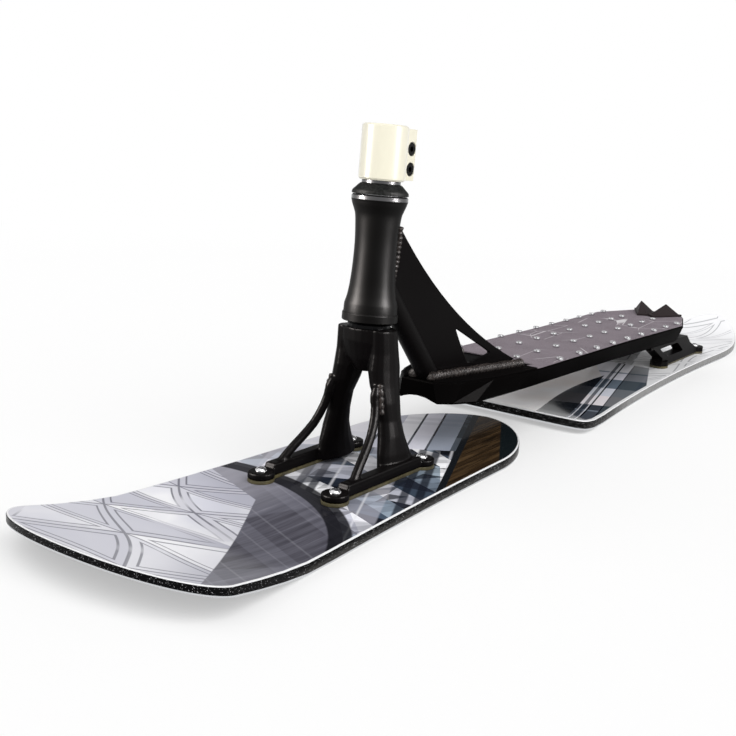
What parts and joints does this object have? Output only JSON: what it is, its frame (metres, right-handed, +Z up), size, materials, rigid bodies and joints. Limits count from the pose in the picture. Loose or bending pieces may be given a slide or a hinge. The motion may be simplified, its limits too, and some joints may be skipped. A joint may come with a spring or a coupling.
{
  "type": "snow scooter",
  "caption": "Snow scooter without its handlebar: a steered front ski on a forked strut, and a studded standing deck on a fixed rear ski, joined by a raked head tube and a folded neck.",
  "frame": {"origin": "on the ground under the steering axis, in the middle of the front ski's flat underside", "axes": "+X forward to the front ski's nose, +Y to the rider's left, +Z up"},
  "size_m": [1.27, 0.22, 0.3192],
  "materials": {
    "black_coat": "satin powder coat",
    "bright_steel": "bright zinc and ground steel",
    "dark_steel": "black oxide",
    "white_coat": "semi-gloss warm white",
    "black_plastic": "fine moulded texture",
    "grip": "gritty matte sheet",
    "foot_pad": "matte",
    "ski_base": "waxed sintered plastic",
    "ski_core": "speckled sidewall",
    "front_sheet": "printed gloss laminate",
    "rear_sheet": "printed gloss laminate",
    "brass": "knurled"
  },
  "bodies": {
    "frame": {"head_tube": "black_coat", "lower_bearing_outer_race": "bright_steel", "upper_bearing_outer_race": "bright_steel", "deck": "black_coat", "grip_sheet": "grip", "tail_stop": "grip", "rear_ski_edge": "bright_steel", "rear_ski_base": "ski_base", "rear_ski_core": "ski_core", "rear_ski_topsheet": "rear_sheet", "rear_ski_insert_front_left": "brass", "rear_ski_insert_front_right": "brass", "rear_ski_insert_rear_left": "brass", "rear_ski_insert_rear_right": "brass", "neck": "black_coat", "neck_weld_left": "black_coat", "neck_weld_right": "black_coat", "rear_truck": "black_coat", "rear_pad_left": "foot_pad", "rear_pad_right": "foot_pad", "rear_bolt_front_left": "bright_steel", "rear_bolt_front_right": "bright_steel", "rear_bolt_rear_left": "bright_steel", "rear_bolt_rear_right": "bright_steel"},
    "steering": {"steerer_tube": "dark_steel", "lower_bearing_inner_race": "bright_steel", "upper_bearing_inner_race": "bright_steel", "crown_race": "bright_steel", "compression_ring": "bright_steel", "headset_cap": "black_plastic", "headset_spacer": "bright_steel", "bar_clamp": "white_coat", "clamp_bolt_lower": "dark_steel", "clamp_bolt_upper": "dark_steel", "clamp_shim": "bright_steel", "compression_cap": "dark_steel", "star_nut": "bright_steel", "compression_bolt": "dark_steel", "front_ski_edge": "bright_steel", "front_ski_base": "ski_base", "front_ski_core": "ski_core", "front_ski_topsheet": "front_sheet", "front_ski_insert_front_left": "brass", "front_ski_insert_front_right": "brass", "front_ski_insert_rear_left": "brass", "front_ski_insert_rear_right": "brass", "fork": "black_coat", "front_pad_left": "foot_pad", "front_pad_right": "foot_pad", "front_bolt_front_left": "bright_steel", "front_bolt_front_right": "bright_steel", "front_bolt_rear_left": "bright_steel", "front_bolt_rear_right": "bright_steel"},
    "lower_ball_cage": {"lower_ball_cage": "bright_steel"},
    "upper_ball_cage": {"upper_ball_cage": "bright_steel"}
  },
  "joints": [
    {"name": "steering", "type": "hinge", "parent": "frame", "child": "steering", "pos_m": [0, 0, 0], "axis": [-0.0698, 0, 0.9976], "range_deg": [-110, 110]},
    {"name": "lower_bearing_roll", "type": "hinge", "parent": "frame", "child": "lower_ball_cage", "pos_m": [0, 0, 0], "axis": [-0.0698, 0, 0.9976], "range_deg": [-55, 55]},
    {"name": "upper_bearing_roll", "type": "hinge", "parent": "frame", "child": "upper_ball_cage", "pos_m": [0, 0, 0], "axis": [-0.0698, 0, 0.9976], "range_deg": [-55, 55]}
  ],
  "couplings": [
    {"joint": "lower_bearing_roll", "follows": "steering", "ratio": 0.5},
    {"joint": "upper_bearing_roll", "follows": "steering", "ratio": 0.5}
  ]
}
